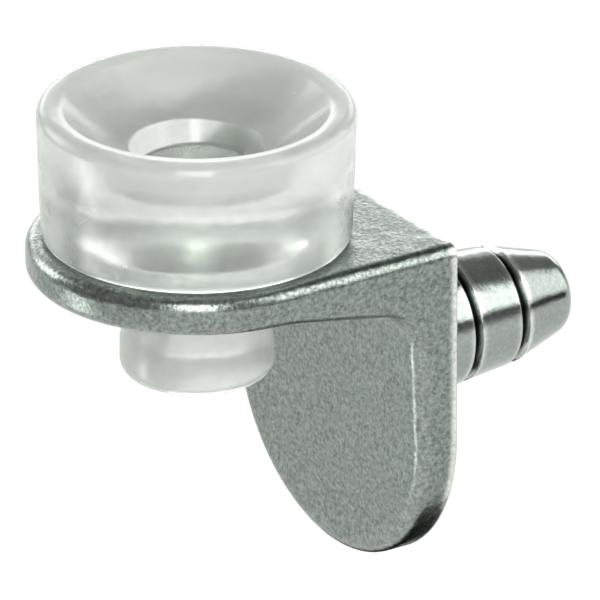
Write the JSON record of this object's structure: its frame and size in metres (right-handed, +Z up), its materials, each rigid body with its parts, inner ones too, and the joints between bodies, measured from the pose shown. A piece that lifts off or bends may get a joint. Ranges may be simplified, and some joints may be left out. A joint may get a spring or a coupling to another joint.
{
  "type": "shelf support pin",
  "caption": "L-shaped cast shelf support with a ring-grooved wall pin behind a round-bottomed flange, and a clear suction cup pushed into its round-ended plate to hold a glass shelf.",
  "frame": {"origin": "on the pin's axis, in the plane of the flange's back face, which is the plane of the wall", "axes": "+Y along the pin into the wall, -Y out under the shelf, +Z up, X across the bracket's width"},
  "size_m": [0.0126, 0.0222, 0.0193],
  "materials": {
    "nickel_plate": "satin nickel plate on a zinc die casting",
    "clear_pvc": "clear, slightly milky soft moulding"
  },
  "bodies": {
    "root": {"bracket": "nickel_plate", "suction_cup": "clear_pvc"}
  },
  "joints": []
}
